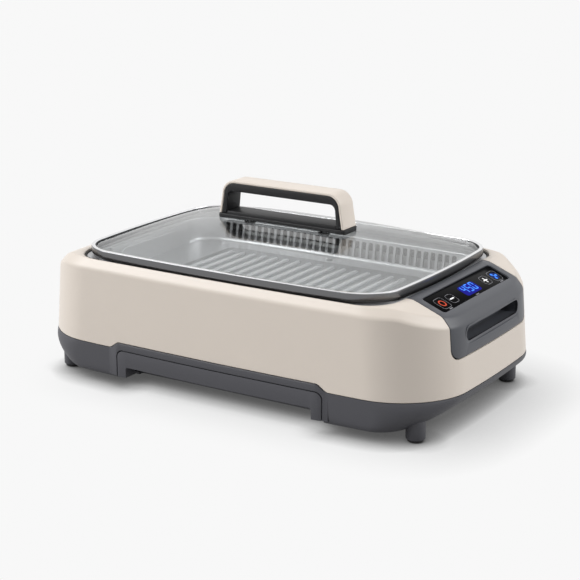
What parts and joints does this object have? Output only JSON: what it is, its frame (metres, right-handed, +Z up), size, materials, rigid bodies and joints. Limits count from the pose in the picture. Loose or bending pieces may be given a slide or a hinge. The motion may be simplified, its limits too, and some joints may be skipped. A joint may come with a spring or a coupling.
{
  "type": "electric indoor grill with lift-off lid",
  "caption": "Electric indoor grill: rounded shell on four feet, ribbed lift-out plate, domed glass lid with arch handle, touch panel, drip drawer and smoke fan.",
  "frame": {"origin": "middle of the footprint, on the surface that the feet stand on", "axes": "+X towards the touch panel on the right-hand end, +Y towards the back where the power inlet is, +Z up"},
  "size_m": [0.533, 0.3054, 0.224],
  "materials": {
    "cream_shell": "smooth satin",
    "charcoal_plastic": "fine matte",
    "slate_plastic": "satin",
    "black_gloss": "polished",
    "black_plastic": "satin",
    "grey_plastic": "moulded",
    "circuit_board": "lacquered",
    "bright_steel": "plated",
    "brass_pins": "turned",
    "black_wire": "insulated",
    "white_wire": "braided glass sleeve",
    "reflector_sheet": "pressed sheet",
    "element_steel": "annealed",
    "ceramic": "unglazed",
    "plate_coating": "light non-stick coating on cast metal",
    "tray_steel": "non-stick coating",
    "foot_rubber": "matte",
    "clear_glass": "clear tempered",
    "rim_metal": "polished band"
  },
  "bodies": {
    "base": {"upper_shell": "cream_shell", "base_pan": "charcoal_plastic", "control_fascia": "slate_plastic", "left_grip_panel": "slate_plastic", "touch_glass": "black_gloss", "touch_board": "circuit_board", "display_module": "black_plastic", "power_board": "circuit_board", "board_parts": "black_plastic", "board_screws": "bright_steel", "power_inlet": "black_plastic", "inlet_pins": "brass_pins", "mains_leads": "black_wire", "exhaust_grille": "charcoal_plastic", "support_ring": "black_plastic", "heat_reflector": "reflector_sheet", "reflector_posts": "bright_steel", "heating_element": "element_steel", "element_bushings": "ceramic", "element_clips": "bright_steel", "heater_leads": "white_wire", "thermal_cutout": "black_plastic", "drawer_rails": "bright_steel", "fan_housing": "black_plastic", "fan_motor": "bright_steel", "grease_filter": "bright_steel", "foot_pads": "foot_rubber", "base_screws": "bright_steel"},
    "plate": {"grill_plate": "plate_coating"},
    "lid": {"lid_glass": "clear_glass", "lid_rim": "rim_metal", "handle_base": "black_plastic", "handle_arch": "black_plastic", "handle_cap": "cream_shell", "handle_screws": "bright_steel", "handle_washers": "foot_rubber"},
    "drawer": {"drip_tray": "tray_steel", "drawer_front": "charcoal_plastic"},
    "fan": {"fan_wheel": "grey_plastic", "motor_shaft": "bright_steel"}
  },
  "joints": [
    {"name": "lid_lift", "type": "slide", "parent": "plate", "child": "lid", "axis": [0, 0, 1], "range_m": [0, 0.09]},
    {"name": "plate_lift", "type": "slide", "parent": "base", "child": "plate", "axis": [0, 0, 1], "range_m": [0, 0.06]},
    {"name": "drawer_slide", "type": "slide", "parent": "base", "child": "drawer", "axis": [0, -1, 0], "range_m": [0, 0.28]},
    {"name": "fan_spin", "type": "hinge", "parent": "base", "child": "fan", "pos_m": [-0.167, 0.01, 0.06], "axis": [0, 0, 1], "continuous": true}
  ]
}
